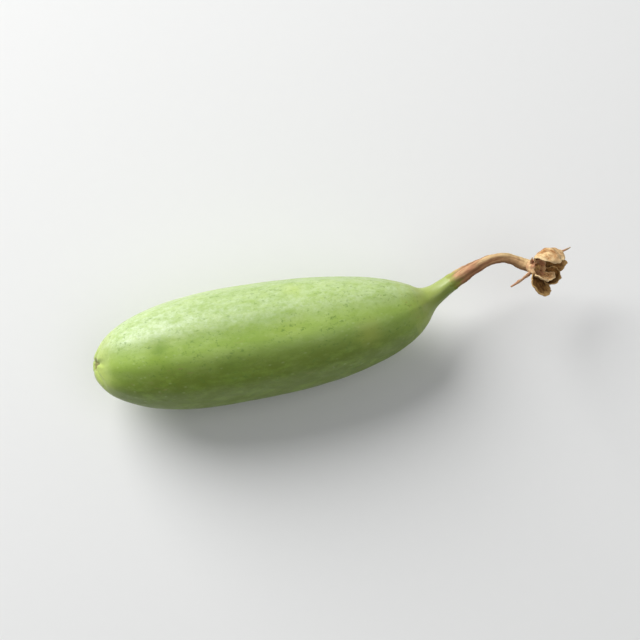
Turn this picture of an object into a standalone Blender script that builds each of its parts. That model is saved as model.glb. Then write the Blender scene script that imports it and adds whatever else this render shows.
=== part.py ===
"""A pointed gourd, picked and lying on its side, with its dried stalk and withered flower.

The fruit lies along X with its scar at -X and its neck at +X. The origin is the middle of the small
flat spot that it rests on, straight under its weight. Metres, +Z up.
"""

import math

import bmesh
import bpy
from mathutils import Matrix, Vector

MM = 0.001

# Driving dimensions of the fruit
FRUIT_LENGTH = 86 * MM
FRUIT_RADIUS = 14.6 * MM
WIDEST_AT = 0.42  # share of the length, from the scar
SCAR_FULLNESS = 2.5  # exponent of the outline on the scar's side
NECK_FULLNESS = 2.2
SCAR_RADIUS = 1.7 * MM
SCAR_DEPTH = 1.3 * MM
SHOULDER_AT = 84 * MM  # where the fruit's outline starts to flare into the neck
NECK_END = 92.5 * MM  # distance along the spine where green turns to brown
FLAT_DEPTH = 0.25 * MM
AXIS_HEIGHT = FRUIT_RADIUS - FLAT_DEPTH

# Faint ribs along the fruit, and the puckers that draw its skin into the scar
RIB_COUNT = 10
RIB_HEIGHT = 0.12 * MM
PUCKER_COUNT = 5
PUCKER_HEIGHT = 0.35 * MM
PUCKER_REACH = 6 * MM

# The dried stalk
STALK_END = 113.8 * MM  # distance along the spine
STALK_START_RADIUS = 2.3 * MM  # also the neck's, where it ends
STALK_THIN_RADIUS = 1.35 * MM
STALK_END_RADIUS = 1.7 * MM
STALK_THINNEST_AT = 0.65
FLUTE_COUNT = 5
FLUTE_DEPTH = 0.09  # share of the radius
JOINT_GAP = 0.3 * MM

# The withered flower, along its own axis from the stalk's end
CUP_BASE_RADIUS = 1.7 * MM
CUP_RIM_RADIUS = 2.5 * MM
CUP_HEIGHT = 3.2 * MM
CUP_WALL = 0.8 * MM
CUP_FLOOR = 1.3 * MM
KNOB_RADIUS = 1.0 * MM
PETAL_ROOT_RADIUS = 1.7 * MM
PETAL_ROOT_HEIGHT = 2.3 * MM
PETAL_THICKNESS = 0.7 * MM
PETAL_ROOT_SHARE = 0.45  # of the petal's width
PETAL_WIDEST_AT = 0.55  # share of the petal's length
PETAL_WAVE = 0.4 * MM
TOOTH_ROOT_HEIGHT = 1.6 * MM
TOOTH_ROOT_RADIUS = 0.55 * MM
TOOTH_TIP_RADIUS = 0.38 * MM

# Facets
FRUIT_SIDES = 60
STALK_SIDES = 15
CUP_SIDES = 15
TOOTH_SIDES = 5
BODY_STATIONS = 30
NECK_STATIONS = 7
STALK_STATIONS = 24
PETAL_ROWS = 8
PETAL_COLUMNS = 6
TOOTH_ROWS = 5
SHARP_ANGLE = math.radians(50)

# The spine runs from the scar through the neck and the stalk's arch to the flower. In mm, with heights
# from the fruit's axis where it is widest.
SPINE = (
    (-41.2, 1.8, 1.6),
    (-34.1, 0.9, 0.9),
    (-22.1, 0.3, 0.4),
    (-6.1, -0.1, 0.0),
    (9.9, -0.3, -0.4),
    (25.9, -0.1, -0.8),
    (34.9, 0.3, -1.0),
    (40.9, 1.2, -0.9),
    (45.2, 2.6, -0.5),
    (48.8, 4.2, 0.2),
    (51.8, 5.4, 1.1),
    (55.0, 6.5, 2.1),
    (58.2, 7.35, 3.0),
    (61.0, 7.85, 3.6),
    (63.6, 7.8, 3.7),
    (65.8, 7.1, 3.3),
    (67.6, 6.0, 2.9),
    (69.1, 4.9, 3.1),
    (70.4, 4.05, 4.2),
    (71.7, 3.2, 5.4),
)

# Each petal: degrees round the flower, length and width in mm, first rise and then curl in degrees, and
# how far its edges cup. A rise of 90 is along the flower's axis, and more leans over its mouth.
PETALS = (
    (42, 11.4, 7.6, 8, 150, 0.35),
    (196, 6.4, 7.4, 12, 50, 0.35),
    (212, 4.2, 6.8, 64, 16, 0.50),
    (262, 6.0, 5.6, 20, 80, 0.50),
    (308, 6.8, 5.8, 8, 52, 0.45),
)

# Each calyx tooth: degrees round the flower, length in mm, rise and curl in degrees
TEETH = (
    (-30, 9.1, 34, -6),
    (80, 4.6, -15, 50),
    (165, 6.2, -24, -16),
    (228, 5.4, -25, 40),
    (284, 5.2, -20, 50),
)


def clear_scene():
    for obj in list(bpy.data.objects):
        bpy.data.objects.remove(obj)


def material(name, colour, roughness):
    made = bpy.data.materials.new(name)
    made.use_nodes = True
    shader = made.node_tree.nodes["Principled BSDF"]
    shader.inputs["Base Color"].default_value = (*colour, 1.0)
    shader.inputs["Roughness"].default_value = roughness
    shader.inputs["Metallic"].default_value = 0.0
    made.diffuse_color = (*colour, 1.0)
    return made


def between(points, position):
    """The point on a smooth curve through points; position 2.5 is halfway from the third to the fourth."""
    first = min(int(position), len(points) - 2)
    share = position - first
    before = points[max(first - 1, 0)]
    start, end = points[first], points[first + 1]
    after = points[min(first + 2, len(points) - 1)]
    return 0.5 * (
        2 * start
        + (end - before) * share
        + (2 * before - 5 * start + 4 * end - after) * share**2
        + (3 * start - before - 3 * end + after) * share**3
    )


def measured_curve(points, steps_per_span=24):
    """The curve as (distance from its start, point) pairs."""
    spans = len(points) - 1
    line = [between(points, i / steps_per_span) for i in range(spans * steps_per_span + 1)]
    walked = [(0.0, line[0])]
    for a, b in zip(line, line[1:]):
        walked.append((walked[-1][0] + (b - a).length, b))
    return walked


SPINE_LINE = measured_curve([Vector(p) * MM + Vector((0, 0, AXIS_HEIGHT)) for p in SPINE])


def spine_frame(distance):
    """The matrix at a distance along the spine: its X runs along the spine, its Y sideways and its Z up."""
    index = 1
    while index < len(SPINE_LINE) - 1 and SPINE_LINE[index][0] < distance:
        index += 1
    (near, start), (far, end) = SPINE_LINE[index - 1], SPINE_LINE[index]
    place = start.lerp(end, (distance - near) / (far - near))
    ahead = SPINE_LINE[min(index + 6, len(SPINE_LINE) - 1)][1]
    behind = SPINE_LINE[max(index - 7, 0)][1]
    along = (ahead - behind).normalized()
    side = Vector((0, 0, 1)).cross(along).normalized()
    top = along.cross(side)
    frame = Matrix((along, side, top)).transposed().to_4x4()
    frame.translation = place
    return frame


def face_outwards(mesh):
    bmesh.ops.recalc_face_normals(mesh, faces=mesh.faces)
    if mesh.calc_volume(signed=True) < 0:
        bmesh.ops.reverse_faces(mesh, faces=mesh.faces)


def turned(profile, sides):
    """A closed mesh turned about X from (x, radius) points, which start and end on the axis."""
    mesh = bmesh.new()
    points = [mesh.verts.new((x, radius, 0)) for x, radius in profile]
    edges = [mesh.edges.new(pair) for pair in zip(points, points[1:])]
    bmesh.ops.spin(
        mesh,
        geom=points + edges,
        cent=(0, 0, 0),
        axis=(1, 0, 0),
        angle=2 * math.pi,
        steps=sides,
    )
    bmesh.ops.remove_doubles(mesh, verts=mesh.verts, dist=0.005 * MM)
    face_outwards(mesh)
    return mesh


def lay_along_spine(mesh):
    """Bends a straight mesh so that its X axis follows the spine."""
    for vertex in mesh.verts:
        x, y, z = vertex.co
        vertex.co = spine_frame(x) @ Vector((0, y, z))


def add_object(name, mesh, finish):
    data = bpy.data.meshes.new(name)
    mesh.to_mesh(data)
    mesh.free()
    data.shade_smooth()
    data.set_sharp_from_angle(angle=SHARP_ANGLE)
    data.materials.append(finish)
    obj = bpy.data.objects.new(name, data)
    bpy.context.scene.collection.objects.link(obj)
    return obj


def ease(share):
    """From 0 to 1, level at both ends."""
    share = min(max(share, 0), 1)
    return share * share * (3 - 2 * share)


def dried_share(x):
    """How far the neck has turned into stalk, from 0 at the fruit to 1 where the brown starts."""
    return ease((x - FRUIT_LENGTH) / (NECK_END - FRUIT_LENGTH))


def body_radius(x):
    """The radius of the body alone, which closes at FRUIT_LENGTH from the scar."""
    share = x / FRUIT_LENGTH
    if share < WIDEST_AT:
        inwards = 1 - ((WIDEST_AT - share) / WIDEST_AT) ** SCAR_FULLNESS
    else:
        inwards = 1 - ((share - WIDEST_AT) / (1 - WIDEST_AT)) ** NECK_FULLNESS
    return FRUIT_RADIUS * math.sqrt(inwards)


def fruit_radius(x):
    """The body's radius up to its shoulder, and past it a flare that settles to the neck's."""
    if x <= SHOULDER_AT:
        return body_radius(x)
    step = 0.1 * MM
    shoulder = body_radius(SHOULDER_AT)
    steepness = (body_radius(SHOULDER_AT - step) - shoulder) / step
    over = shoulder - STALK_START_RADIUS
    return STALK_START_RADIUS + over * math.exp((SHOULDER_AT - x) * steepness / over)


def fruit_profile():
    """Scar floor, scar lip, body and neck."""
    profile = [
        (SCAR_DEPTH, 0),
        (SCAR_DEPTH, 0.6 * SCAR_RADIUS),
        (0.6 * SCAR_DEPTH, 0.95 * SCAR_RADIUS),
        (0.3 * SCAR_DEPTH, 1.2 * SCAR_RADIUS),
    ]
    for i in range(2, BODY_STATIONS + 1):
        # Stations crowd towards both ends, where the outline turns fastest.
        x = SHOULDER_AT * (1 - math.cos(math.pi * i / BODY_STATIONS)) / 2
        profile.append((x, fruit_radius(x)))
    for i in range(1, NECK_STATIONS + 1):
        x = SHOULDER_AT + (NECK_END - SHOULDER_AT) * i / NECK_STATIONS
        profile.append((x, fruit_radius(x)))
    profile.append((NECK_END, 0))
    return profile


def flute(angle):
    """Five ridges round the stalk, from -1 in a groove to 1 on a ridge."""
    return math.cos(FLUTE_COUNT * angle)


def raise_skin(mesh):
    """Ribs, puckers round the scar, and the neck's flutes, raised from the turned skin."""
    for vertex in mesh.verts:
        x, y, z = vertex.co
        radius = math.hypot(y, z)
        if radius < 0.8 * SCAR_RADIUS:
            continue
        angle = math.atan2(z, y)
        on_body = ease(1.5 * radius / FRUIT_RADIUS)
        raised = RIB_HEIGHT * math.cos(RIB_COUNT * angle) * on_body
        pull = max(1 - x / PUCKER_REACH, 0)
        raised -= PUCKER_HEIGHT * pull**2 * (0.5 + 0.5 * math.cos(PUCKER_COUNT * angle))
        raised += FLUTE_DEPTH * STALK_START_RADIUS * dried_share(x) * flute(angle)
        scale = (radius + raised) / radius
        vertex.co = (x, y * scale, z * scale)


def cut_flat_spot(mesh):
    """Cuts the underside off level with the surface the fruit rests on."""
    everything = mesh.verts[:] + mesh.edges[:] + mesh.faces[:]
    cut = bmesh.ops.bisect_plane(
        mesh, geom=everything, plane_co=(0, 0, 0), plane_no=(0, 0, 1), clear_inner=True
    )
    rim = [item for item in cut["geom_cut"] if isinstance(item, bmesh.types.BMEdge)]
    bmesh.ops.edgeloop_fill(mesh, edges=rim)
    face_outwards(mesh)


def make_fruit(finish):
    mesh = turned(fruit_profile(), FRUIT_SIDES)
    raise_skin(mesh)
    lay_along_spine(mesh)
    cut_flat_spot(mesh)
    return add_object("fruit", mesh, finish)


def stalk_radius(share):
    """The stalk thins from the neck to its arch, then swells a little into the flower."""
    if share < STALK_THINNEST_AT:
        rest = ease(1 - share / STALK_THINNEST_AT)
        return STALK_THIN_RADIUS + (STALK_START_RADIUS - STALK_THIN_RADIUS) * rest
    rest = ((share - STALK_THINNEST_AT) / (1 - STALK_THINNEST_AT)) ** 2
    return STALK_THIN_RADIUS + (STALK_END_RADIUS - STALK_THIN_RADIUS) * rest


def make_stalk(finish):
    start = NECK_END + JOINT_GAP
    profile = [(start, 0)]
    for i in range(STALK_STATIONS + 1):
        share = i / STALK_STATIONS
        profile.append((start + (STALK_END - start) * share, stalk_radius(share)))
    profile.append((STALK_END, 0))
    mesh = turned(profile, STALK_SIDES)
    for vertex in mesh.verts:
        x, y, z = vertex.co
        scale = 1 + FLUTE_DEPTH * flute(math.atan2(z, y)) if math.hypot(y, z) > 0 else 1
        vertex.co = (x, y * scale, z * scale)
    lay_along_spine(mesh)
    return add_object("dried_stalk", mesh, finish)


def flower_point(azimuth, outward, along, sideways=0.0):
    """A point from the flower's base: outward at an azimuth, along its axis, and sideways round it."""
    side = Vector((0, math.cos(azimuth), math.sin(azimuth)))
    round_it = Vector((0, -math.sin(azimuth), math.cos(azimuth)))
    return side * outward + Vector((along, 0, 0)) + round_it * sideways


def curled_line(root_radius, root_height, length, rise, curl, steps=40):
    """(outward, along, heading) down the middle of a petal or a tooth, which turns evenly by curl."""
    outward, along = root_radius, root_height
    line = []
    for i in range(steps + 1):
        heading = math.radians(rise + curl * i / steps)
        line.append((outward, along, heading))
        outward += length / steps * math.cos(heading)
        along += length / steps * math.sin(heading)
    return line


def on_line(line, share):
    position = min(max(share, 0), 1) * (len(line) - 1)
    first = min(int(position), len(line) - 2)
    part = position - first
    return [a + (b - a) * part for a, b in zip(line[first], line[first + 1])]


def petal_half_width(share, width):
    """Narrow at the root, widest past the middle, and rounded at the tip."""
    if share < PETAL_WIDEST_AT:
        opened = ease(share / PETAL_WIDEST_AT)
        return width / 2 * (PETAL_ROOT_SHARE + (1 - PETAL_ROOT_SHARE) * opened)
    past = (share - PETAL_WIDEST_AT) / (1 - PETAL_WIDEST_AT)
    return width / 2 * math.sqrt(1 - 0.85 * past**2)


def make_petal(number, petal):
    """A cupped, curled blade from a flat grid, thickened afterwards."""
    degrees, length, width, rise, curl, cup = petal
    azimuth = math.radians(degrees)
    line = curled_line(PETAL_ROOT_RADIUS, PETAL_ROOT_HEIGHT, length * MM, rise, curl)
    mesh = bmesh.new()
    bmesh.ops.create_grid(mesh, x_segments=PETAL_COLUMNS, y_segments=PETAL_ROWS, size=1)
    for vertex in mesh.verts:
        across = vertex.co.x
        share = (vertex.co.y + 1) / 2 * (1 - 0.14 * across**2)
        outward, along, heading = on_line(line, share)
        half = petal_half_width(share, width * MM)
        # The edges lift towards the petal's inner face, and a wave crosses it as it dries.
        lift = cup * half * across**2
        lift += PETAL_WAVE * share * math.sin(4.2 * across + 2.1 * number)
        outward -= lift * math.sin(heading)
        along += lift * math.cos(heading)
        vertex.co = flower_point(azimuth, outward, along, across * half)
    petal_object = add_object(f"petal_{number}", mesh, None)
    thick = petal_object.modifiers.new("Thickness", "SOLIDIFY")
    thick.thickness = PETAL_THICKNESS
    thick.offset = 0
    return petal_object


def make_tooth(number, tooth):
    """A slender curved spike."""
    degrees, length, rise, curl = tooth
    azimuth = math.radians(degrees)
    line = curled_line(PETAL_ROOT_RADIUS, TOOTH_ROOT_HEIGHT, length * MM, rise, curl)
    profile = [(0, 0)]
    for i in range(TOOTH_ROWS + 1):
        share = i / TOOTH_ROWS
        profile.append((share, TOOTH_ROOT_RADIUS + (TOOTH_TIP_RADIUS - TOOTH_ROOT_RADIUS) * share))
    profile.append((1, 0))
    mesh = turned(profile, TOOTH_SIDES)
    for vertex in mesh.verts:
        share, sideways, lift = vertex.co
        outward, along, heading = on_line(line, share)
        outward -= lift * math.sin(heading)
        along += lift * math.cos(heading)
        vertex.co = flower_point(azimuth, outward, along, sideways)
    face_outwards(mesh)
    return add_object(f"tooth_{number}", mesh, None)


def make_knob():
    """The shrivelled stump of the style, on the floor of the cup."""
    mesh = bmesh.new()
    bmesh.ops.create_icosphere(mesh, subdivisions=1, radius=KNOB_RADIUS)
    bmesh.ops.translate(mesh, verts=mesh.verts, vec=(CUP_FLOOR + 0.4 * KNOB_RADIUS, 0, 0))
    return add_object("knob", mesh, None)


def islands(mesh):
    """The mesh's faces in groups, each of faces joined edge to edge."""
    waiting = set(mesh.faces)
    groups = []
    while waiting:
        group = [waiting.pop()]
        for face in group:
            for edge in face.edges:
                joined = [other for other in edge.link_faces if other in waiting]
                waiting.difference_update(joined)
                group.extend(joined)
        groups.append(group)
    return groups


def fill_hollows(obj):
    """Keeps the outer skin alone, so that no pocket stays sealed between the petals."""
    mesh = bmesh.new()
    mesh.from_mesh(obj.data)
    groups = sorted(islands(mesh), key=len)
    for group in groups[:-1]:
        bmesh.ops.delete(mesh, geom=group, context="FACES")
    mesh.to_mesh(obj.data)
    mesh.free()


def make_flower(finish):
    """Calyx cup, petals, teeth and knob, joined in one solid."""
    rim = CUP_RIM_RADIUS
    profile = [
        (0, 0),
        (0, CUP_BASE_RADIUS),
        (0.45 * CUP_HEIGHT, CUP_BASE_RADIUS + 0.25 * (rim - CUP_BASE_RADIUS)),
        (0.8 * CUP_HEIGHT, CUP_BASE_RADIUS + 0.75 * (rim - CUP_BASE_RADIUS)),
        (CUP_HEIGHT, rim),
        (CUP_HEIGHT, rim - CUP_WALL),
        (CUP_FLOOR, CUP_BASE_RADIUS - 0.55 * CUP_WALL),
        (CUP_FLOOR, 0),
    ]
    flower = add_object("withered_flower", turned(profile, CUP_SIDES), finish)
    repeats = bpy.data.collections.new("flower_pieces")
    bpy.context.scene.collection.children.link(repeats)
    pieces = [make_petal(number, petal) for number, petal in enumerate(PETALS)]
    pieces += [make_tooth(number, tooth) for number, tooth in enumerate(TEETH)]
    pieces.append(make_knob())
    for piece in pieces:
        bpy.context.scene.collection.objects.unlink(piece)
        repeats.objects.link(piece)
    joined = flower.modifiers.new("Joined", "BOOLEAN")
    joined.operation = "UNION"
    joined.operand_type = "COLLECTION"
    joined.collection = repeats
    joined.solver = "MANIFOLD"  # EXACT leaves a sealed sliver between two petals
    bpy.context.view_layer.objects.active = flower
    bpy.ops.object.modifier_apply(modifier=joined.name)
    for piece in pieces:
        bpy.data.objects.remove(piece)
    bpy.data.collections.remove(repeats)
    fill_hollows(flower)
    flower.matrix_world = spine_frame(STALK_END + JOINT_GAP)
    return flower


def build():
    clear_scene()
    skin = material("gourd_skin", (0.30, 0.44, 0.11), 0.42)
    stalk_brown = material("dried_stalk", (0.30, 0.17, 0.08), 0.80)
    petal_brown = material("withered_petal", (0.38, 0.19, 0.09), 0.85)
    make_fruit(skin)
    make_stalk(stalk_brown)
    make_flower(petal_brown)


build()
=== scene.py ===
import math
import random

import bpy
from mathutils import Matrix, Vector, noise


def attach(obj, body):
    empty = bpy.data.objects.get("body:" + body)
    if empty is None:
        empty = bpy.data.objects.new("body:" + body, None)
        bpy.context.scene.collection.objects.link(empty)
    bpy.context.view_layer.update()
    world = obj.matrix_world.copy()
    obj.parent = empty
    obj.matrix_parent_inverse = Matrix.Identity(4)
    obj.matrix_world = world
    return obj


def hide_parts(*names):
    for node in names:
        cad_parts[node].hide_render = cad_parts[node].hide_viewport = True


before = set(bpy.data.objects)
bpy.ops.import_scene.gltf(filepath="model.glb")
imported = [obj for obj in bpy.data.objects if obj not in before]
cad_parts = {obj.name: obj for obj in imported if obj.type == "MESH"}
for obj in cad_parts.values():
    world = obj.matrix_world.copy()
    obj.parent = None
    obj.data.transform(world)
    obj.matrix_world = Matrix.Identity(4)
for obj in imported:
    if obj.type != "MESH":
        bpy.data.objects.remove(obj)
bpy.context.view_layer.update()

mm = 0.001
bpy.context.scene.view_settings.view_transform = "Standard"

# A pointed gourd on its side: green fruit, dried stalk, withered flower. The fruit and the stalk
# are modelled straight along X and bent along the spine last.


# Small helpers for selecting and shaping

def deselectAll():
    if bpy.context.object and bpy.context.object.mode != "OBJECT":
        bpy.ops.object.mode_set(mode="OBJECT")
    bpy.ops.object.select_all(action="DESELECT")


def workOn(piece):
    deselectAll()
    piece.select_set(True)
    bpy.context.view_layer.objects.active = piece


def editAll(piece):
    workOn(piece)
    bpy.ops.object.mode_set(mode="EDIT")
    bpy.ops.mesh.select_all(action="SELECT")


def leaveEdit():
    bpy.ops.object.mode_set(mode="OBJECT")


def editWhere(piece, wanted):
    # in edit mode, with only those points and edges selected for which wanted(place) holds
    editAll(piece)
    bpy.ops.mesh.select_all(action="DESELECT")
    leaveEdit()
    for edge in piece.data.edges:
        edge.select = all(wanted(piece.data.vertices[i].co) for i in edge.vertices)
    for vertex in piece.data.vertices:
        vertex.select = wanted(vertex.co)
    bpy.ops.object.mode_set(mode="EDIT")


def applyModifier(piece, modifier):
    workOn(piece)
    bpy.ops.object.modifier_apply(modifier=modifier.name)


def applyPlace(piece):
    workOn(piece)
    bpy.ops.object.transform_apply(location=True, rotation=True, scale=True)


def nameNew(name):
    # the primitive that was just added
    piece = bpy.context.object
    piece.name = name
    piece.data.name = name
    return piece


def faceOut(piece):
    editAll(piece)
    bpy.ops.mesh.remove_doubles(threshold=0.002 * mm)
    bpy.ops.mesh.normals_make_consistent(inside=False)
    leaveEdit()


def smoothOver(piece, levels):
    rounder = piece.modifiers.new("rounder", "SUBSURF")
    rounder.levels = levels
    rounder.render_levels = levels
    applyModifier(piece, rounder)


def raiseBy(piece, height, weightAt):
    # moves each point along its normal by height times weightAt(point), from 0 to 1
    group = piece.vertex_groups.new(name="raised")
    for vertex in piece.data.vertices:
        weight = weightAt(vertex.co)
        if weight > 0:
            group.add([vertex.index], min(weight, 1), "REPLACE")
    lift = piece.modifiers.new("lift", "DISPLACE")
    lift.vertex_group = group.name
    lift.strength = height
    lift.mid_level = 0
    applyModifier(piece, lift)
    piece.vertex_groups.remove(piece.vertex_groups["raised"])


def roughen(piece, grain, height):
    # uneven swells about grain across, half of them in and half out
    clouds = bpy.data.textures.new(piece.name + "Clouds", "CLOUDS")
    clouds.noise_scale = grain
    clouds.noise_depth = 2
    swell = piece.modifiers.new("swell", "DISPLACE")
    swell.texture = clouds
    swell.strength = height
    swell.mid_level = 0.5
    applyModifier(piece, swell)
    bpy.data.textures.remove(clouds)


def keepPlaces(piece):
    # remembers where each point is now, so that a pattern can follow the straight piece
    flat = [0.0] * (3 * len(piece.data.vertices))
    piece.data.vertices.foreach_get("co", flat)
    layer = piece.data.attributes.new("straight", "FLOAT_VECTOR", "POINT")
    layer.data.foreach_set("vector", flat)


def keepValues(piece, name, values):
    layer = piece.data.attributes.new(name, "FLOAT", "POINT")
    layer.data.foreach_set("value", values)


def ease(share):
    share = min(max(share, 0), 1)
    return share * share * (3 - 2 * share)


def finishPiece(piece, finish, node):
    workOn(piece)
    bpy.ops.object.shade_smooth_by_angle(angle=math.radians(60))
    piece.data.materials.append(finish)
    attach(piece, "root")
    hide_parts(node)


# The spine: from the scar through the neck and the stalk's arch to the flower, as in the solid

spine = {
    # in mm, with heights from the fruit's axis
    "points": [
        (-41.2, 1.8, 1.6),
        (-34.1, 0.9, 0.9),
        (-22.1, 0.3, 0.4),
        (-6.1, -0.1, 0.0),
        (9.9, -0.3, -0.4),
        (25.9, -0.1, -0.8),
        (34.9, 0.3, -1.0),
        (40.9, 1.2, -0.9),
        (45.2, 2.6, -0.5),
        (48.8, 4.2, 0.2),
        (51.8, 5.4, 1.1),
        (55.0, 6.5, 2.1),
        (58.2, 7.35, 3.0),
        (61.0, 7.85, 3.6),
        (63.6, 7.8, 3.7),
        (65.8, 7.1, 3.3),
        (67.6, 6.0, 2.9),
        (69.1, 4.9, 3.1),
        (70.4, 4.05, 4.2),
        (71.7, 3.2, 5.4),
    ],
    "axisHeight": 14.35,
    "steps": 24,  # from one point to the next
    "headingSteps": 6,  # how many steps the flower's direction is taken over, each way
}


def spinePoint(points, position):
    # a smooth curve through all the points
    first = min(int(position), len(points) - 2)
    share = position - first
    before = points[max(first - 1, 0)]
    start, end = points[first], points[first + 1]
    after = points[min(first + 2, len(points) - 1)]
    return 0.5 * (
        2 * start
        + (end - before) * share
        + (2 * before - 5 * start + 4 * end - after) * share**2
        + (3 * start - before - 3 * end + after) * share**3
    )


def makeSpineLine():
    # a list of (distance from the scar, place)
    points = [Vector((x, y, z + spine["axisHeight"])) * mm for x, y, z in spine["points"]]
    count = (len(points) - 1) * spine["steps"]
    line = [spinePoint(points, i / spine["steps"]) for i in range(count + 1)]
    walked = [(0.0, line[0])]
    for a, b in zip(line, line[1:]):
        walked.append((walked[-1][0] + (b - a).length, b))
    return walked


def makeSpineGuide(line):
    data = bpy.data.curves.new("spineGuide", "CURVE")
    data.dimensions = "3D"
    data.twist_mode = "Z_UP"
    run = data.splines.new("POLY")
    run.points.add(len(line) - 1)
    for point, (_, place) in zip(run.points, line):
        point.co = (*place, 1)
    guide = bpy.data.objects.new("spineGuide", data)
    bpy.context.scene.collection.objects.link(guide)
    return guide


def bendAlongSpine(piece):
    bend = piece.modifiers.new("alongSpine", "CURVE")
    bend.object = spineGuide
    bend.deform_axis = "POS_X"
    applyModifier(piece, bend)


def spineFrame(distance):
    # X along the spine, Y level, Z up
    index = 1
    while index < len(spineLine) - 1 and spineLine[index][0] < distance:
        index += 1
    (near, start), (far, end) = spineLine[index - 1], spineLine[index]
    place = start.lerp(end, (distance - near) / (far - near))
    ahead = spineLine[min(index + spine["headingSteps"], len(spineLine) - 1)][1]
    behind = spineLine[max(index - 1 - spine["headingSteps"], 0)][1]
    along = (ahead - behind).normalized()
    side = Vector((0, 0, 1)).cross(along).normalized()
    turned = Matrix((along, side, along.cross(side))).transposed().to_4x4()
    turned.translation = place
    return turned


spineLine = makeSpineLine()
spineGuide = makeSpineGuide(spineLine)


# Rings drawn out along X, as by hand: a circle, then extrude and scale for each station

def startRing(name, sides, x, radius):
    deselectAll()
    bpy.ops.mesh.primitive_circle_add(
        vertices=sides, radius=radius, location=(x, 0, 0), rotation=(0, math.pi / 2, 0)
    )
    piece = nameNew(name)
    applyPlace(piece)
    return piece


def drawOut(profile):
    # profile is a list of (x, radius); the ring at its first point is selected
    for (x0, radius0), (x, radius) in zip(profile, profile[1:]):
        bpy.ops.mesh.extrude_edges_move(TRANSFORM_OT_translate={"value": (x - x0, 0, 0)})
        scale = radius / radius0
        bpy.ops.transform.resize(value=(1, scale, scale), center_override=(x, 0, 0))


def closeRing():
    bpy.ops.mesh.extrude_edges_move()
    bpy.ops.mesh.merge(type="CENTER")


def turnedPiece(name, sides, profile):
    piece = startRing(name, sides, *profile[0])
    editAll(piece)
    closeRing()
    leaveEdit()
    # the first ring is selected again, without the point that closes it, and drawn out
    innermost = 0.5 * profile[0][1]
    editWhere(piece, lambda co: math.hypot(co.y, co.z) > innermost)
    drawOut(profile)
    closeRing()
    leaveEdit()
    faceOut(piece)
    return piece


# Fruit

fruit = {
    "length": 86 * mm,
    "radius": 14.6 * mm,
    "widestAt": 0.42,
    "scarFullness": 2.5,
    "neckFullness": 2.2,
    "shoulderAt": 84 * mm,
    "neckEnd": 92.5 * mm,
    "neckRadius": 2.3 * mm,
    "neckSink": 0.05,  # share of the radius by which the neck's end sinks towards the stalk
    "sinkFrom": 89.0 * mm,
    # x and radius in mm, from the scar's floor out over its rolled lip
    "scarRows": [(1.25, 0.5), (1.15, 0.9), (0.85, 1.25), (0.52, 1.6), (0.40, 2.1)],
    # mm past the neck's end and share of its radius, dipping under the stalk's skin
    "neckRows": [(0.6, 0.90), (1.2, 0.80), (1.2, 0.60)],
    "sides": 60,
    "stations": 34,
    "neckStations": 9,
    "ribs": 10,
    "ribHeight": 0.24 * mm,  # crest to valley
    "puckers": 5,
    "puckerDepth": 0.8 * mm,  # of the deepest crease, the one on top
    "puckerReach": 5.0 * mm,
    "scarRadius": 1.6 * mm,  # inside it the creases fade
    "scarTilt": 0.24,  # how far the scar is drawn in, for each mm above tiltFrom
    "tiltFrom": -2.2 * mm,
    "tiltReach": 7 * mm,
    "fluteDepth": 0.3 * mm,
    "plane": 0.5 * mm,  # how far the long sunken stretches dip
    "swellGrain": 9 * mm,
    "swell": 0.22 * mm,
    "dimpleGrain": 2.2 * mm,
    "dimple": 0.05 * mm,
}


def bodyRadius(x):
    # fuller towards the scar than towards the neck
    share = x / fruit["length"]
    widest = fruit["widestAt"]
    if share < widest:
        inwards = 1 - ((widest - share) / widest) ** fruit["scarFullness"]
    else:
        inwards = 1 - ((share - widest) / (1 - widest)) ** fruit["neckFullness"]
    return fruit["radius"] * math.sqrt(inwards)


def fruitRadius(x):
    # past the shoulder the outline flows on, without a kink, into the neck
    shoulderAt = fruit["shoulderAt"]
    if x <= shoulderAt:
        return bodyRadius(x)
    step = 0.1 * mm
    shoulder = bodyRadius(shoulderAt)
    steepness = (bodyRadius(shoulderAt - step) - shoulder) / step
    over = shoulder - fruit["neckRadius"]
    return fruit["neckRadius"] + over * math.exp((shoulderAt - x) * steepness / over)


def fruitProfile():
    profile = [(x * mm, radius * mm) for x, radius in fruit["scarRows"]]
    for i in range(2, fruit["stations"] + 1):
        x = fruit["shoulderAt"] * (1 - math.cos(math.pi * i / fruit["stations"])) / 2
        profile.append((x, fruitRadius(x)))
    reach = fruit["neckEnd"] - fruit["shoulderAt"]
    for i in range(1, fruit["neckStations"] + 1):
        x = fruit["shoulderAt"] + reach * i / fruit["neckStations"]
        sunk = fruit["neckSink"] * ease((x - fruit["sinkFrom"]) / (fruit["neckEnd"] - fruit["sinkFrom"]))
        profile.append((x, fruitRadius(x) * (1 - sunk)))
    for past, share in fruit["neckRows"]:
        profile.append((fruit["neckEnd"] + past * mm, share * fruit["neckRadius"]))
    return profile


def ribWeight(co):
    # lengthwise ribs of uneven height, fading at both ends
    angle = math.atan2(co.z, co.y)
    crest = 0.5 + 0.5 * math.cos(fruit["ribs"] * angle)
    place = Vector((co.x * 25, math.cos(angle) * 1.3, math.sin(angle) * 1.3))
    uneven = 0.75 + 0.5 * noise.noise(place)
    radius = math.hypot(co.y, co.z)
    return crest * uneven * ease(1.5 * radius / fruit["radius"])


def puckerWeight(co):
    # creases that draw the skin into the scar, deepest at the top
    angle = math.atan2(co.z, co.y) - math.pi / 2
    wander = 0.35 * noise.noise(Vector((math.cos(angle), math.sin(angle), co.x * 300)))
    crease = (0.5 + 0.5 * math.cos(fruit["puckers"] * (angle + wander))) ** 4
    crease *= 0.6 + 0.4 * math.cos(angle)
    radius = math.hypot(co.y, co.z)
    reach = ease(1 - max(co.x, 0) / fruit["puckerReach"])
    return crease * reach**2 * ease(radius / fruit["scarRadius"])


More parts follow.
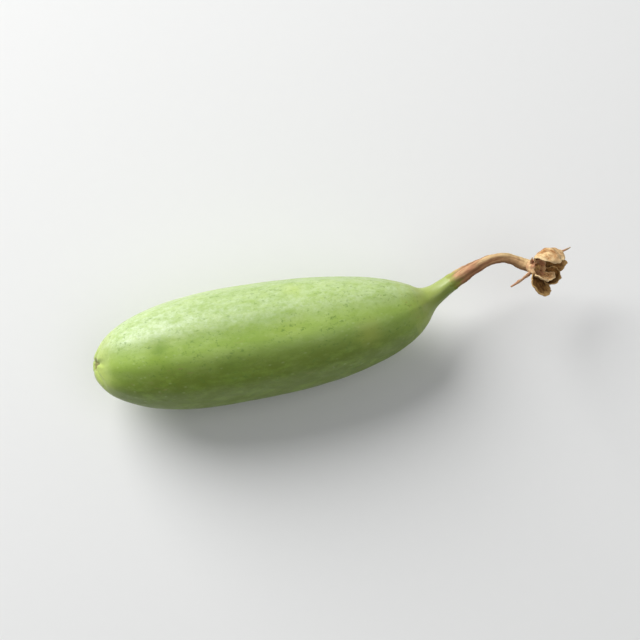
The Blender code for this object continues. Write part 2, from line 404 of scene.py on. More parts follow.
def neckWeight(co):
    # grooves that run on into the stalk's
    dried = ease((co.x - fruit["length"]) / (fruit["neckEnd"] - fruit["length"]))
    return dried * (1 - stalkRidge(co))


def planeWeight(co):
    # long stretches where the flesh has sunk a little between firmer ones
    angle = math.atan2(co.z, co.y)
    place = Vector((co.x * 26, 1.5 * math.cos(angle), 1.5 * math.sin(angle)))
    return (0.5 + noise.noise(place)) * ease(1.3 * math.hypot(co.y, co.z) / fruit["radius"])


def tiltScar(piece):
    # the upper rim is drawn in, so that the scar looks up a little
    for vertex in piece.data.vertices:
        near = ease(1 - vertex.co.x / fruit["tiltReach"]) ** 2
        vertex.co.x += fruit["scarTilt"] * max(vertex.co.z - fruit["tiltFrom"], 0) * near


def makeFruit(finish):
    body = turnedPiece("gourdFruit", fruit["sides"], fruitProfile())
    smoothOver(body, 2)
    raiseBy(body, fruit["ribHeight"], ribWeight)
    raiseBy(body, -fruit["puckerDepth"], puckerWeight)
    raiseBy(body, -fruit["fluteDepth"], neckWeight)
    raiseBy(body, -fruit["plane"], planeWeight)
    tiltScar(body)
    keepPlaces(body)
    roughen(body, fruit["swellGrain"], fruit["swell"])
    roughen(body, fruit["dimpleGrain"], fruit["dimple"])
    bendAlongSpine(body)
    # the small flat that it rests on
    editAll(body)
    bpy.ops.mesh.bisect(
        plane_co=(0, 0, 0), plane_no=(0, 0, 1), use_fill=True, clear_inner=True, threshold=0.001 * mm
    )
    leaveEdit()
    finishPiece(body, finish, "fruit")
    print("fruit:", len(body.data.polygons), "faces")


# Dried stalk

stalk = {
    "start": 92 * mm,  # just inside the neck
    "end": 114.5 * mm,  # just inside the flower's cup
    "startRadius": 2.25 * mm,
    "root": 3 * mm,  # how far it goes on inside the neck, growing thinner
    "thinRadius": 1.32 * mm,
    "endRadius": 1.65 * mm,
    "thinnestAt": 0.65,
    "sides": 30,
    "stations": 40,
    "flutes": 4,
    "fluteDepth": 0.16,  # share of the radius
    "twist": 45,  # radians a metre
    "wrinkleGrain": 1.5 * mm,
    "wrinkle": 0.42 * mm,
}


def stalkRadius(share):
    thinnest, thin = stalk["thinnestAt"], stalk["thinRadius"]
    if share < thinnest:
        return thin + (stalk["startRadius"] - thin) * ease(1 - share / thinnest)
    return thin + (stalk["endRadius"] - thin) * ((share - thinnest) / (1 - thinnest)) ** 2


def stalkProfile():
    start, radius, root = stalk["start"], stalk["startRadius"], stalk["root"]
    profile = [(start - root, 0.8 * radius), (start - root / 2, 0.93 * radius)]
    reach = stalk["end"] - start
    for i in range(stalk["stations"] + 1):
        share = i / stalk["stations"]
        profile.append((start + reach * share, stalkRadius(share)))
    return profile


def stalkRidge(co):
    # 1 on a ridge and 0 in a groove; the grooves wind a little as the stalk dries
    angle = math.atan2(co.z, co.y)
    turned = angle + stalk["twist"] * (co.x - stalk["start"])
    fold = noise.noise(Vector((1.3 * math.cos(angle), 1.3 * math.sin(angle), co.x * 130)))
    wave = 0.5 + 0.3 * math.cos(stalk["flutes"] * turned + 2 * fold) + 0.45 * fold
    return min(max(wave, 0), 1)


def grooveWeight(co):
    return (1 - stalkRidge(co)) * math.hypot(co.y, co.z) / stalk["startRadius"]


def makeStalk(finish):
    tube = turnedPiece("driedStalk", stalk["sides"], stalkProfile())
    smoothOver(tube, 1)
    keepPlaces(tube)
    keepValues(tube, "ridge", [stalkRidge(vertex.co) for vertex in tube.data.vertices])
    raiseBy(tube, -stalk["fluteDepth"] * stalk["startRadius"], grooveWeight)
    roughen(tube, stalk["wrinkleGrain"], stalk["wrinkle"])
    smoothOver(tube, 1)
    bendAlongSpine(tube)
    finishPiece(tube, finish, "dried_stalk")
    print("stalk:", len(tube.data.polygons), "faces")


# Withered flower: modelled with its axis along X and its base at the origin, then put at the
# stalk's end

flower = {
    "at": 114.1 * mm,
    "cupSides": 30,
    "cupBase": 1.7 * mm,
    "cupRim": 2.5 * mm,
    "cupHeight": 3.2 * mm,
    "cupWall": 0.5 * mm,
    "cupFloor": 1.3 * mm,
    "cupFolds": 10,
    "cupFold": 0.3 * mm,
    "cupGrain": 1.2 * mm,
    "cupSwell": 0.3 * mm,
    "stump": 1.0 * mm,
    "stumpStretch": (1.5, 0.8, 0.8),
    "stumpAbove": 0.6 * mm,  # its middle, above the cup's floor
    "stumpGrain": 0.6 * mm,
    "stumpSwell": 0.9 * mm,
}


def turnRound(piece, degrees):
    # round the flower's axis
    piece.matrix_world = Matrix.Rotation(math.radians(degrees), 4, "X")
    applyPlace(piece)


def placeAtFlower(piece):
    piece.matrix_world = spineFrame(flower["at"])
    applyPlace(piece)


def leanSelected(angle, centre):
    # leans from +Y towards +X; with no window the operator turns the other way round Z
    bpy.ops.transform.rotate(value=angle, orient_axis="Z", center_override=centre)


def makeCup(finish):
    base, rim, high = flower["cupBase"], flower["cupRim"], flower["cupHeight"]
    wall, floor = flower["cupWall"], flower["cupFloor"]
    # up the outside, over the rim and down to the floor inside
    profile = [
        (0.0, 0.75 * base),
        (0.05 * high, base),
        (0.45 * high, base + 0.25 * (rim - base)),
        (0.8 * high, base + 0.75 * (rim - base)),
        (high, rim),
        (high + 0.1 * mm, rim - 0.5 * wall),
        (high, rim - wall),
        (0.7 * high, base - 0.1 * mm),
        (floor, base - wall),
    ]
    cup = turnedPiece("flowerCup", flower["cupSides"], profile)
    smoothOver(cup, 1)
    keepPlaces(cup)

    def foldWeight(co):
        angle = math.atan2(co.z, co.y)
        return (0.5 + 0.5 * math.cos(flower["cupFolds"] * angle)) * ease(co.x / high)

    raiseBy(cup, flower["cupFold"], foldWeight)
    roughen(cup, flower["cupGrain"], flower["cupSwell"])
    smoothOver(cup, 1)
    placeAtFlower(cup)
    finishPiece(cup, finish, "withered_flower")


petal = {
    "rootRadius": 1.7 * mm,
    "rootHeight": 2.3 * mm,
    "rootShare": 0.45,  # of the width
    "widestAt": 0.55,
    "tipCut": 0.85,  # 1 would bring the tip to a point
    "thickness": 0.32 * mm,
    "columns": 12,
    "rows": 16,
    "wave": 0.4 * mm,
    "ragged": 0.24 * mm,
    "crumpleGrain": 1.3 * mm,
    "crumple": 0.8 * mm,
    "wrinkleGrain": 0.45 * mm,
    "wrinkle": 0.26 * mm,
    "seed": 40,
    # degrees round the flower, length and width in mm, first rise and then curl in degrees, cupping
    "blades": [
        (42, 10.8, 7.2, 8, 150, 0.35),
        (196, 6.4, 7.4, 12, 50, 0.35),
        (212, 4.2, 6.8, 64, 16, 0.50),
        (262, 6.0, 5.6, 20, 80, 0.50),
        (308, 6.8, 5.8, 8, 52, 0.45),
    ],
    "inShade": (1, 3, 4),  # which of them, counted from 0, take the darker tints: painted shade for the petals that lie low or turn away from the light
}


def petalHalfWidth(share, width):
    if share < petal["widestAt"]:
        opened = ease(share / petal["widestAt"])
        return width / 2 * (petal["rootShare"] + (1 - petal["rootShare"]) * opened)
    past = (share - petal["widestAt"]) / (1 - petal["widestAt"])
    return width / 2 * math.sqrt(1 - petal["tipCut"] * past**2)


def rootRow(name, halfWidth, cup):
    # an arc of a circle, open towards the petal's inner face, whose depth over its half width is cup
    halfColumns = petal["columns"] / 2
    sides = round(halfColumns * 2 * math.pi / (2 * math.atan(cup)))
    halfAngle = halfColumns * 2 * math.pi / sides
    radius = halfWidth / math.sin(halfAngle)
    deselectAll()
    bpy.ops.mesh.primitive_circle_add(vertices=sides, radius=radius, location=(0, 0, 0))
    blade = nameNew(name)
    low = min(vertex.co.y for vertex in blade.data.vertices)
    depth = radius * (1 - math.cos(halfAngle)) + 0.01 * radius
    editWhere(blade, lambda co: co.y > low + depth)
    bpy.ops.mesh.delete(type="VERT")
    leaveEdit()
    # the arc's lowest point goes to the origin, its opening to +X and its width along Z
    blade.matrix_world = Matrix(((0, 1, 0, -low), (0, 0, 1, 0), (1, 0, 0, 0), (0, 0, 0, 1)))
    applyPlace(blade)
    return blade


def drawBlade(blade, length, width, rise, curl):
    # row by row from the root to the tip, leaning more and more as the petal curls
    rows = petal["rows"]
    outward, along = petal["rootRadius"], petal["rootHeight"]
    editAll(blade)
    leanSelected(math.radians(rise), (0, 0, 0))
    bpy.ops.transform.translate(value=(along, outward, 0))
    for row in range(1, rows + 1):
        heading = math.radians(rise + curl * (row - 0.5) / rows)
        step = (length / rows * math.sin(heading), length / rows * math.cos(heading), 0)
        along += step[0]
        outward += step[1]
        centre = (along, outward, 0)
        bpy.ops.mesh.extrude_edges_move(TRANSFORM_OT_translate={"value": step})
        leanSelected(math.radians(curl) / rows, centre)
        scale = petalHalfWidth(row / rows, width) / petalHalfWidth((row - 1) / rows, width)
        bpy.ops.transform.resize(value=(scale, scale, scale), center_override=centre)
    leaveEdit()


def wearRim(blade, number, across, share):
    # the rim dries unevenly: ragged and wavy
    draw = random.Random(petal["seed"] + number)
    for vertex, side, out in zip(blade.data.vertices, across, share):
        edge = petal["ragged"] * max(abs(side), out) ** 4
        sway = petal["wave"] * out * math.sin(4.2 * side + 2.1 * number)
        vertex.co.x += sway + draw.uniform(-edge, edge)
        vertex.co.y += draw.uniform(-edge, edge)
        vertex.co.z += draw.uniform(-edge, edge)


def makePetal(number, settings, finish):
    degrees, length, width, rise, curl, cup = settings
    length, width = length * mm, width * mm
    blade = rootRow(f"petal{number + 1}", petalHalfWidth(0, width), cup)
    columns = len(blade.data.vertices)
    drawBlade(blade, length, width, rise, curl)
    # across is -1 and 1 at the sides, share is 1 at the tip
    share = [vertex.index // columns / petal["rows"] for vertex in blade.data.vertices]
    across = [
        vertex.co.z / petalHalfWidth(out, width) for vertex, out in zip(blade.data.vertices, share)
    ]
    keepValues(blade, "across", across)
    keepValues(blade, "share", share)
    wearRim(blade, number, across, share)
    smoothOver(blade, 1)
    roughen(blade, petal["crumpleGrain"], petal["crumple"])
    roughen(blade, petal["wrinkleGrain"], petal["wrinkle"])
    keepPlaces(blade)
    sheet = blade.modifiers.new("thickness", "SOLIDIFY")
    sheet.thickness = petal["thickness"]
    sheet.offset = 0
    applyModifier(blade, sheet)
    smoothOver(blade, 1)
    turnRound(blade, degrees)
    placeAtFlower(blade)
    faceOut(blade)
    finishPiece(blade, finish, "withered_flower")


tooth = {
    "rootRadius": 1.7 * mm,
    "rootHeight": 1.6 * mm,
    "thickRoot": 0.72 * mm,
    "thickTip": 0.24 * mm,
    "taper": 0.8,  # below 1 it thins sooner
    "flatness": 0.75,
    "crumpleGrain": 1.2 * mm,
    "crumple": 0.55 * mm,
    "sides": 8,
    "rows": 9,
    # degrees round the flower, length in mm, rise and curl in degrees
    "spikes": [
        (-30, 9.1, 34, -6),
        (80, 3.6, 24, 20),
        (165, 6.2, -24, -16),
        (228, 5.4, -25, 40),
        (284, 5.2, -20, 50),
    ],
}


def drawSpike(spike, length, rise, curl):
    rows, thickRoot, thickTip = tooth["rows"], tooth["thickRoot"], tooth["thickTip"]
    outward, along = tooth["rootRadius"], tooth["rootHeight"]
    editAll(spike)
    bpy.ops.transform.resize(value=(tooth["flatness"], 1, 1))
    leanSelected(math.radians(rise), (0, 0, 0))
    bpy.ops.transform.translate(value=(along, outward, 0))
    radius = thickRoot
    for row in range(1, rows + 1):
        heading = math.radians(rise + curl * (row - 0.5) / rows)
        step = (length / rows * math.sin(heading), length / rows * math.cos(heading), 0)
        along += step[0]
        outward += step[1]
        centre = (along, outward, 0)
        bpy.ops.mesh.extrude_region_move(TRANSFORM_OT_translate={"value": step})
        leanSelected(math.radians(curl) / rows, centre)
        wanted = thickRoot + (thickTip - thickRoot) * (row / rows) ** tooth["taper"]
        scale = wanted / radius
        bpy.ops.transform.resize(value=(scale, scale, scale), center_override=centre)
        radius = wanted
    leaveEdit()


def makeTooth(number, settings, finish):
    degrees, length, rise, curl = settings
    deselectAll()
    bpy.ops.mesh.primitive_circle_add(
        vertices=tooth["sides"], radius=tooth["thickRoot"], fill_type="TRIFAN", rotation=(math.pi / 2, 0, 0)
    )
    spike = nameNew(f"calyxTooth{number + 1}")
    applyPlace(spike)
    drawSpike(spike, length * mm, rise, curl)
    faceOut(spike)
    smoothOver(spike, 1)
    roughen(spike, tooth["crumpleGrain"], tooth["crumple"])
    smoothOver(spike, 1)
    keepPlaces(spike)
    turnRound(spike, degrees)
    placeAtFlower(spike)
    finishPiece(spike, finish, "withered_flower")


def makeStump(finish):
    # what is left of the style, shrivelled
    deselectAll()
    bpy.ops.mesh.primitive_uv_sphere_add(segments=16, ring_count=10, radius=flower["stump"])
    stump = nameNew("styleStump")
    stump.scale = flower["stumpStretch"]
    stump.location = (flower["cupFloor"] + flower["stumpAbove"], 0, 0)
    applyPlace(stump)
    smoothOver(stump, 1)
    roughen(stump, flower["stumpGrain"], flower["stumpSwell"])
    keepPlaces(stump)
    placeAtFlower(stump)
    finishPiece(stump, finish, "withered_flower")


# Materials

def newFinish(name):
    made = bpy.data.materials.new(name)
    made.use_nodes = True
    return made, made.node_tree, made.node_tree.nodes["Principled BSDF"]


def addNode(tree, kind, inputs, **settings):
    made = tree.nodes.new("ShaderNode" + kind)
    for setting, value in settings.items():
        setattr(made, setting, value)
    for socket, value in inputs.items():
        if isinstance(value, bpy.types.NodeSocket):
            tree.links.new(value, made.inputs[socket])
        else:
            made.inputs[socket].default_value = value
    return made


def readPlaces(tree):
    return addNode(tree, "Attribute", {}, attribute_name="straight").outputs["Vector"]


def readValue(tree, name):
    return addNode(tree, "Attribute", {}, attribute_name=name).outputs["Fac"]


def stretched(tree, vector, scale, shift=(0, 0, 0)):
    return addNode(tree, "Mapping", {"Vector": vector, "Scale": scale, "Location": shift}).outputs[0]


def cloudy(tree, vector, scale, detail, rough=0.55, shift=(0, 0, 0)):
    # scale is in features a metre along X, Y and Z
    placed = stretched(tree, vector, scale, shift)
    made = addNode(tree, "TexNoise", {"Vector": placed, "Scale": 1.0, "Detail": detail, "Roughness": rough})
    return made.outputs[0]


def ramp(tree, value, low, high, toLow=0.0, toHigh=1.0):
    made = addNode(
        tree,
        "MapRange",
        {"Value": value, "From Min": low, "From Max": high, "To Min": toLow, "To Max": toHigh},
        interpolation_type="SMOOTHSTEP",
    )
    return made.outputs[0]


def times(tree, a, b):
    return addNode(tree, "Math", {0: a, 1: b}, operation="MULTIPLY").outputs[0]


def plus(tree, a, b):
    return addNode(tree, "Math", {0: a, 1: b}, operation="ADD").outputs[0]


def awayFrom(tree, vector, place):
    return addNode(tree, "VectorMath", {0: vector, 1: place}, operation="DISTANCE").outputs["Value"]


def mixed(tree, factor, below, above):
    return addNode(tree, "Mix", {0: factor, 6: below, 7: above}, data_type="RGBA").outputs[2]


def bumped(tree, shader, height, strength, distance):
    bump = addNode(tree, "Bump", {"Height": height, "Strength": strength, "Distance": distance})
    tree.links.new(bump.outputs[0], shader.inputs["Normal"])


def colour(red, green, blue):
    return (red, green, blue, 1.0)


skin = {
    "mid": colour(0.325, 0.465, 0.085),
    "deep": colour(0.255, 0.39, 0.05),
    "yellow": colour(0.40, 0.49, 0.08),
    "pale": colour(0.47, 0.60, 0.21),
    # a waxy bloom with painted highlight, whitish, for the lit upper flank
    "bloomAndHighlight": colour(0.62, 0.72, 0.49),
    # painted shade for the lower flank, a dark olive
    "paintedShade": colour(0.13, 0.19, 0.008),
    "dot": colour(0.11, 0.21, 0.02),
    "prick": colour(0.58, 0.70, 0.34),
    "scratch": colour(0.27, 0.23, 0.07),
    "end": colour(0.46, 0.55, 0.13),
    "neck": colour(0.335, 0.39, 0.095),
    "scar": colour(0.17, 0.125, 0.04),
    "roughness": (0.38, 0.56),
    # where each tint starts and where it is full, across (Y) or along (X) the straight fruit
    # painted shade on the lower flank
    "paintedShadeAcross": (-2 * mm, -9.5 * mm),
    # waxy bloom with painted highlight on the upper flank, stronger towards the scar
    "bloomAndHighlightAcross": (-1.5 * mm, 4.5 * mm),
    "bloomAndHighlightAlong": (44 * mm, 14 * mm),
    # the pale mottle, fainter on the lower flank: partly painted light
    "mottleAcross": (-7 * mm, 3 * mm),
    "endAlong": (9.5 * mm, 2.0 * mm),
    "neckAlong": (80 * mm, 89 * mm),
    # painted shade on the neck's lower flank
    "neckShadeAlong": (82 * mm, 90 * mm),
    "neckShadeAcross": (0.6 * mm, -2.4 * mm),
    "scarAway": (2.1 * mm, 1.1 * mm),
    # noise for each layer: features a metre along X, Y and Z, detail, roughness and shift
    "noise": {
        "broad": ((30, 55, 55), 2.0),
        "warm": ((22, 70, 70), 2.0, 0.55, (3, 0, 7)),
        "bloomAndHighlight": ((520, 760, 760), 5.0, 0.78),
        "mottle": ((260, 480, 480), 5.0, 0.7),
        "streak": ((95, 480, 480), 4.0, 0.65, (5, 2, 0)),
        "shade": ((210, 420, 420), 5.0, 0.72, (9, 4, 1)),
        "markEdge": ((240, 420, 420), 3.0),
        "speck": ((850, 1150, 1150), 3.0, 0.75, (2, 2, 8)),
        "crowd": ((90, 190, 190), 2.0, 0.5, (8, 1, 5)),
        "thin": ((120, 1500, 1500), 2.0, 0.5, (1, 8, 3)),
        "rare": ((45, 90, 90), 1.0, 0.5, (6, 6, 2)),
        "endEdge": ((400, 700, 700), 3.0),
        "ring": ((560, 70, 70), 2.0, 0.6, (4, 4, 1)),
        "gloss": ((200, 420, 420), 5.0, 0.7, (2, 9, 4)),
        "wrinkle": ((60, 900, 900), 3.0, 0.6),
        "grain": ((1500, 1900, 1900), 2.0, 0.6),
    },
    # greener and yellower marks: place on the straight fruit and reach, both in mm, and tint
    "marks": [
        ((17.0, -1.0, 12.0), 7.0, colour(0.20, 0.31, 0.012)),
        ((17.5, -0.2, 12.6), 5.0, colour(0.13, 0.25, 0.005)),
        ((34.0, -8.0, 11.5), 7.0, colour(0.13, 0.21, 0.01)),
        ((68.0, -5.0, 9.5), 7.0, colour(0.40, 0.46, 0.08)),
        ((52.0, 9.0, 10.0), 6.0, colour(0.46, 0.58, 0.17)),
        ((45.0, 3.0, -13.5), 9.0, colour(0.50, 0.58, 0.24)),
        ((22.0, 9.0, -8.5), 6.0, colour(0.26, 0.38, 0.06)),
    ],
}

dryStalk = {
    "ridge": colour(0.68, 0.46, 0.24),
    "pink": colour(0.50, 0.25, 0.135),
    # dark fibres, and painted shade in the grooves
    "groove": colour(0.13, 0.05, 0.018),
    "straw": colour(0.60, 0.46, 0.22),
    # painted shade, redder and darker, for the stalk's lower flank
    "redShade": colour(0.20, 0.08, 0.03),
    "strawAlong": (98 * mm, 108 * mm),
    "redShadeAcross": (0.6 * mm, -1.6 * mm),
    "dryingAlong": (98.3 * mm, 102.5 * mm),
    "dryingRagged": 12 * mm,
    "noise": {
        "drying": ((260, 520, 520), 4.0, 0.65, (2, 5, 5)),
        "fibre": ((160, 2600, 2600), 3.0, 0.6),
        "patch": ((160, 420, 420), 3.0, 0.55),
    },
}


def splitPlaces(tree):
    # the place on the straight piece, how far along it, and how far to its side
    straight = readPlaces(tree)
    parts = addNode(tree, "SeparateXYZ", {0: straight})
    return straight, parts.outputs[0], parts.outputs[1]


def dryingAt(tree, straight, along):
    # where the green neck turns to brown stalk, the same on both pieces
    ragged = times(tree, cloudy(tree, straight, *dryStalk["noise"]["drying"]), dryStalk["dryingRagged"])
    return ramp(tree, plus(tree, along, ragged), *dryStalk["dryingAlong"])


def neckPaintedShade(tree, along, side):
    # painted shade in olive on the neck's lower flank, the same on both pieces
    near = ramp(tree, along, *skin["neckShadeAlong"])
    return times(tree, near, ramp(tree, side, *skin["neckShadeAcross"], 0.0, 0.8))


def skinGround(tree, straight, along, side):
    layers = skin["noise"]
    broad = cloudy(tree, straight, *layers["broad"])
    base = mixed(tree, ramp(tree, broad, 0.40, 0.62), skin["deep"], skin["mid"])
    warm = cloudy(tree, straight, *layers["warm"])
    base = mixed(tree, times(tree, ramp(tree, warm, 0.46, 0.68), 0.7), base, skin["yellow"])

    # painted shade, a dark olive, on the lower flank, and on the upper flank a waxy bloom with painted
    # highlight, thickest near the scar
    base = mixed(tree, ramp(tree, side, *skin["paintedShadeAcross"], 0.0, 0.95), base, skin["paintedShade"])
    # painted highlight together with the waxy bloom
    bloomAndHighlightGrain = ramp(tree, cloudy(tree, straight, *layers["bloomAndHighlight"]), 0.12, 0.78)
    bloomAndHighlightByLength = ramp(tree, along, *skin["bloomAndHighlightAlong"], 0.75, 1.0)
    bloomAndHighlight = times(tree, times(tree, ramp(tree, side, *skin["bloomAndHighlightAcross"]), bloomAndHighlightByLength), bloomAndHighlightGrain)
    base = mixed(tree, times(tree, bloomAndHighlight, 0.82), base, skin["bloomAndHighlight"])

    # pale mottle and streaks: the skin's own mottle, with painted light making the upper flank paler than
    # the lower
    above = ramp(tree, side, *skin["mottleAcross"], 0.3, 1.0)
    mottle = ramp(tree, cloudy(tree, straight, *layers["mottle"]), 0.46, 0.70, 0.0, 0.40)
    base = mixed(tree, times(tree, mottle, above), base, skin["pale"])
    streak = ramp(tree, cloudy(tree, straight, *layers["streak"]), 0.50, 0.76, 0.0, 0.22)
    base = mixed(tree, times(tree, streak, above), base, skin["pale"])
    shade = ramp(tree, cloudy(tree, straight, *layers["shade"]), 0.44, 0.72, 0.0, 0.55)
    return mixed(tree, shade, base, skin["deep"])


def skinMarks(tree, straight, base):
    for place, reach, tint in skin["marks"]:
        away = awayFrom(tree, straight, tuple(value * mm for value in place))
        ragged = times(tree, cloudy(tree, straight, *skin["noise"]["markEdge"]), 3.4 * mm)
        mark = ramp(tree, plus(tree, away, ragged), reach * mm, 1.5 * mm)
        base = mixed(tree, times(tree, mark, 0.6), base, tint)
    return base


def skinSpecks(tree, straight):
    # small dark specks, in crowds
    specks = ramp(tree, cloudy(tree, straight, *skin["noise"]["speck"]), 0.55, 0.68)
    crowd = ramp(tree, cloudy(tree, straight, *skin["noise"]["crowd"]), 0.36, 0.60, 0.35, 1.0)
    return times(tree, specks, crowd)


def skinPricks(tree, straight):
    # pale round pricks, in a few of the cells only
    placed = stretched(tree, straight, (500, 820, 820), (7, 3, 5))
    cells = addNode(tree, "TexVoronoi", {"Vector": placed, "Scale": 1.0})
    few = addNode(tree, "SeparateColor", {0: cells.outputs["Color"]}).outputs[1]
    return times(tree, ramp(tree, cells.outputs["Distance"], 0.30, 0.06), ramp(tree, few, 0.6, 0.75))


def skinEnds(tree, straight, along, side, base):
    layers = skin["noise"]
    ragged = plus(tree, along, times(tree, cloudy(tree, straight, *layers["endEdge"]), 3.5 * mm))
    base = mixed(tree, times(tree, ramp(tree, ragged, *skin["endAlong"]), 0.6), base, skin["end"])
    # faint rings where the shoulder narrows to the neck
    shoulder = times(tree, ramp(tree, along, 76 * mm, 82 * mm), ramp(tree, along, 88 * mm, 85 * mm))
    rings = times(tree, shoulder, ramp(tree, cloudy(tree, straight, *layers["ring"]), 0.44, 0.64))
    base = mixed(tree, times(tree, rings, 0.4), base, skin["yellow"])
    base = mixed(tree, times(tree, ramp(tree, ragged, *skin["neckAlong"]), 0.8), base, skin["neck"])
    # painted shade on the neck's lower flank
    base = mixed(tree, neckPaintedShade(tree, along, side), base, skin["paintedShade"])
    base = mixed(tree, dryingAt(tree, straight, along), base, dryStalk["pink"])
    scar = ramp(tree, awayFrom(tree, straight, (1.7 * mm, 0, 0)), *skin["scarAway"])
    return mixed(tree, times(tree, scar, 0.75), base, skin["scar"])


def makeSkin():
    finish, tree, shader = newFinish("gourdSkin")
    straight, along, side = splitPlaces(tree)
    layers = skin["noise"]
    base = skinGround(tree, straight, along, side)
    base = skinMarks(tree, straight, base)
    specks = skinSpecks(tree, straight)
    base = mixed(tree, times(tree, specks, 0.62), base, skin["dot"])
    pricks = skinPricks(tree, straight)
    base = mixed(tree, times(tree, pricks, 0.16), base, skin["prick"])
    thin = ramp(tree, cloudy(tree, straight, *layers["thin"]), 0.66, 0.72)
    scratch = times(tree, thin, ramp(tree, cloudy(tree, straight, *layers["rare"]), 0.56, 0.66))
    base = mixed(tree, times(tree, scratch, 0.55), base, skin["scratch"])
    base = skinEnds(tree, straight, along, side, base)
    tree.links.new(base, shader.inputs["Base Color"])

    gloss = ramp(tree, cloudy(tree, straight, *layers["gloss"]), 0.35, 0.70, *skin["roughness"])
    tree.links.new(gloss, shader.inputs["Roughness"])
    shader.inputs["Specular IOR Level"].default_value = 0.55
    shader.inputs["Subsurface Weight"].default_value = 0.08
    shader.inputs["Subsurface Radius"].default_value = (1.0, 1.0, 0.4)
    shader.inputs["Subsurface Scale"].default_value = 1.5 * mm
    shader.inputs["Coat Weight"].default_value = 0.06
    shader.inputs["Coat Roughness"].default_value = 0.36

    height = times(tree, cloudy(tree, straight, *layers["wrinkle"]), 0.6)
    height = plus(tree, height, times(tree, cloudy(tree, straight, *layers["grain"]), 0.4))
    height = plus(tree, height, times(tree, specks, -0.35))
    height = plus(tree, height, times(tree, pricks, 0.25))
    bumped(tree, shader, height, 0.35, 0.12 * mm)
    return finish


def makeStalkFinish():
    finish, tree, shader = newFinish("driedStalk")
    straight, along, side = splitPlaces(tree)
    fibre = cloudy(tree, straight, *dryStalk["noise"]["fibre"])
    patch = cloudy(tree, straight, *dryStalk["noise"]["patch"])
    base = mixed(tree, ramp(tree, patch, 0.40, 0.62), dryStalk["pink"], dryStalk["ridge"])
    straw = ramp(tree, along, *dryStalk["strawAlong"])
    base = mixed(tree, times(tree, straw, 0.5), base, dryStalk["straw"])
    base = mixed(tree, times(tree, ramp(tree, fibre, 0.50, 0.68), 0.45), base, dryStalk["groove"])
    # dark grooves: partly the stalk's own colour, partly painted shade
    groove = ramp(tree, readValue(tree, "ridge"), 0.50, 0.10)
    base = mixed(tree, times(tree, groove, 0.6), base, dryStalk["groove"])
    # painted shade: the stalk's lower flank redder and darker
    base = mixed(tree, ramp(tree, side, *dryStalk["redShadeAcross"], 0.0, 0.75), base, dryStalk["redShade"])
    # the green start of the stalk, with the neck's painted shade on its lower flank
    green = mixed(tree, neckPaintedShade(tree, along, side), skin["neck"], skin["paintedShade"])
    base = mixed(tree, dryingAt(tree, straight, along), green, base)
    tree.links.new(base, shader.inputs["Base Color"])
    tree.links.new(ramp(tree, fibre, 0.3, 0.7, 0.62, 0.85), shader.inputs["Roughness"])
    shader.inputs["Specular IOR Level"].default_value = 0.2
    bumped(tree, shader, plus(tree, fibre, times(tree, patch, 0.5)), 0.7, 0.2 * mm)
    return finish


petalTints = {
    "rim": colour(0.86, 0.65, 0.36),
    "face": colour(0.80, 0.55, 0.28),
    "red": colour(0.46, 0.21, 0.07),
    "dark": colour(0.13, 0.05, 0.012),
    "tip": colour(0.58, 0.42, 0.25),
}
# darker copies of the petal tints: painted shade on the petals that lie low or turn away; the stump takes
# them too
darkPetalTints = {
    "rim": colour(0.55, 0.35, 0.14),
    "face": colour(0.34, 0.18, 0.055),
    "red": colour(0.18, 0.08, 0.018),
    "dark": colour(0.05, 0.02, 0.004),
}
dryNoise = {
    "petalVein": ((500, 500, 2600), 4.0, 0.65),
    "petalPatch": ((480, 480, 480), 5.0, 0.65),
    "fibre": ((300, 1500, 1500), 3.0, 0.6),
    "patch": ((500, 500, 500), 4.0, 0.6),
}


def makePetalFinish(name, tints):
    # painted shade towards the root, where the flower's mouth is hollow, with a pale rim
    finish, tree, shader = newFinish(name)
    straight = readPlaces(tree)
    share = readValue(tree, "share")
    across = addNode(tree, "Math", {0: readValue(tree, "across")}, operation="ABSOLUTE").outputs[0]
    vein = cloudy(tree, straight, *dryNoise["petalVein"])
    patch = cloudy(tree, straight, *dryNoise["petalPatch"])
    base = mixed(tree, ramp(tree, patch, 0.38, 0.60), tints["red"], tints["face"])
    base = mixed(tree, times(tree, ramp(tree, vein, 0.48, 0.64), 0.6), base, tints["dark"])
    # painted shade towards the root
    base = mixed(tree, ramp(tree, share, 0.42, 0.0, 0.0, 0.4), base, tints["dark"])
    edge = addNode(tree, "Math", {0: across, 1: share}, operation="MAXIMUM").outputs[0]
    rim = plus(tree, edge, times(tree, patch, 0.25))
    base = mixed(tree, ramp(tree, rim, 0.84, 1.14, 0.0, 0.9), base, tints["rim"])
    tree.links.new(base, shader.inputs["Base Color"])
    tree.links.new(ramp(tree, patch, 0.3, 0.7, 0.70, 0.92), shader.inputs["Roughness"])
    shader.inputs["Specular IOR Level"].default_value = 0.18
    bumped(tree, shader, plus(tree, vein, patch), 0.8, 0.25 * mm)
    return finish


def makeDryFinish(name, light, dark, deep):
    # cup, teeth and stump: dry and mottled, with no pale rim
    finish, tree, shader = newFinish(name)
    straight = readPlaces(tree)
    fibre = cloudy(tree, straight, *dryNoise["fibre"])
    patch = cloudy(tree, straight, *dryNoise["patch"])
    base = mixed(tree, ramp(tree, patch, 0.38, 0.62), dark, light)
    base = mixed(tree, times(tree, ramp(tree, fibre, 0.52, 0.72), 0.5), base, deep)
    tree.links.new(base, shader.inputs["Base Color"])
    tree.links.new(ramp(tree, patch, 0.3, 0.7, 0.70, 0.90), shader.inputs["Roughness"])
    shader.inputs["Specular IOR Level"].default_value = 0.18
    bumped(tree, shader, fibre, 0.5, 0.12 * mm)
    return finish


# Make the pieces

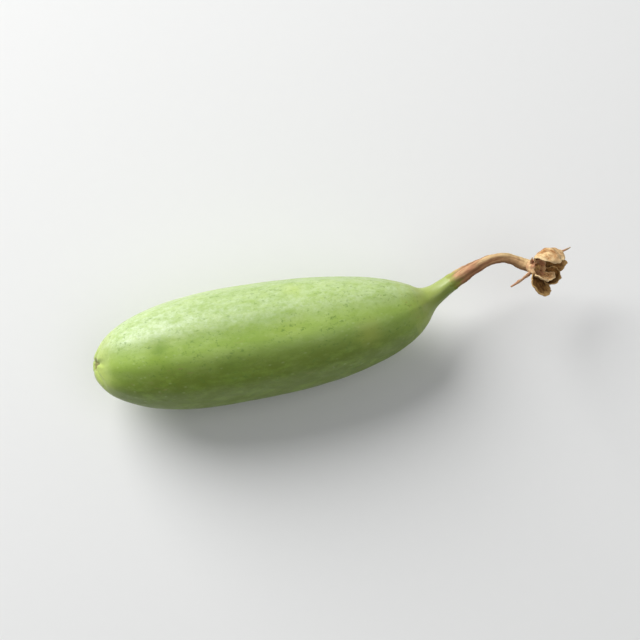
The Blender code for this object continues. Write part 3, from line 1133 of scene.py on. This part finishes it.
makeFruit(makeSkin())
makeStalk(makeStalkFinish())
petalFinish = makePetalFinish("witheredPetal", petalTints)
shadedPetalFinish = makePetalFinish("petalInShade", darkPetalTints)
makeCup(makeDryFinish("driedCup", dryStalk["ridge"], dryStalk["pink"], dryStalk["groove"]))
for number, settings in enumerate(petal["blades"]):
    makePetal(number, settings, shadedPetalFinish if number in petal["inShade"] else petalFinish)
toothFinish = makeDryFinish("driedTooth", petalTints["tip"], dryStalk["pink"], dryStalk["groove"])
for number, settings in enumerate(tooth["spikes"]):
    makeTooth(number, settings, toothFinish)
makeStump(makeDryFinish("driedStump", darkPetalTints["rim"], darkPetalTints["face"], darkPetalTints["dark"]))
bpy.data.objects.remove(spineGuide)
print("flower: cup, petals, calyx teeth and stump")


# Floor, light and camera

studio = {
    "floorSize": 6.0,
    "floorTint": colour(0.76, 0.76, 0.75),
    "floorMottle": colour(0.7486, 0.7486, 0.73875),
    "worldTint": colour(0.93, 0.96, 1.0),
    "worldStrength": 0.21,
    # place, size and power of each soft light
    "lights": [
        ("key", (-0.42, 0.66, 0.56), 0.85, 13.0),
        ("fill", (0.30, -0.30, 0.85), 0.90, 2.2),
    ],
    "target": (0.0165, 0.0025, 0.012),
    "elevation": 78,
    "turn": -11.4,  # degrees, which makes the fruit climb to the right
    "distance": 0.62,
    "lens": 140,
}


def makeFloor():
    deselectAll()
    bpy.ops.mesh.primitive_plane_add(size=studio["floorSize"])
    floor = nameNew("floor")
    finish, tree, shader = newFinish("paleFloor")
    places = addNode(tree, "TexCoord", {}).outputs["Object"]
    grain = cloudy(tree, places, (300, 300, 300), 3.0)
    tint = mixed(tree, grain, studio["floorTint"], studio["floorMottle"])
    tree.links.new(tint, shader.inputs["Base Color"])
    shader.inputs["Roughness"].default_value = 0.7
    floor.data.materials.append(finish)


def aimAt(thing, place, target):
    thing.location = place
    thing.rotation_euler = (Vector(target) - Vector(place)).to_track_quat("-Z", "Y").to_euler()


def makeLights():
    world = bpy.data.worlds.new("softSky")
    bpy.context.scene.world = world
    world.use_nodes = True
    sky = world.node_tree.nodes["Background"]
    sky.inputs["Color"].default_value = studio["worldTint"]
    sky.inputs["Strength"].default_value = studio["worldStrength"]
    for name, place, size, power in studio["lights"]:
        lamp = bpy.data.lights.new(name, "AREA")
        lamp.shape = "DISK"
        lamp.size = size
        lamp.energy = power
        softbox = bpy.data.objects.new(name, lamp)
        bpy.context.scene.collection.objects.link(softbox)
        aimAt(softbox, place, studio["target"])


def makeCamera():
    data = bpy.data.cameras.new("camera")
    data.lens = studio["lens"]
    data.clip_start = 0.01
    camera = bpy.data.objects.new("camera", data)
    bpy.context.scene.collection.objects.link(camera)
    bpy.context.scene.camera = camera
    target = Vector(studio["target"])
    high, turn = math.radians(studio["elevation"]), math.radians(studio["turn"])
    back = Vector((math.sin(turn) * math.cos(high), -math.cos(turn) * math.cos(high), math.sin(high)))
    aimAt(camera, target + back * studio["distance"], target)


makeFloor()
makeLights()
makeCamera()
print("floor, lights and camera")
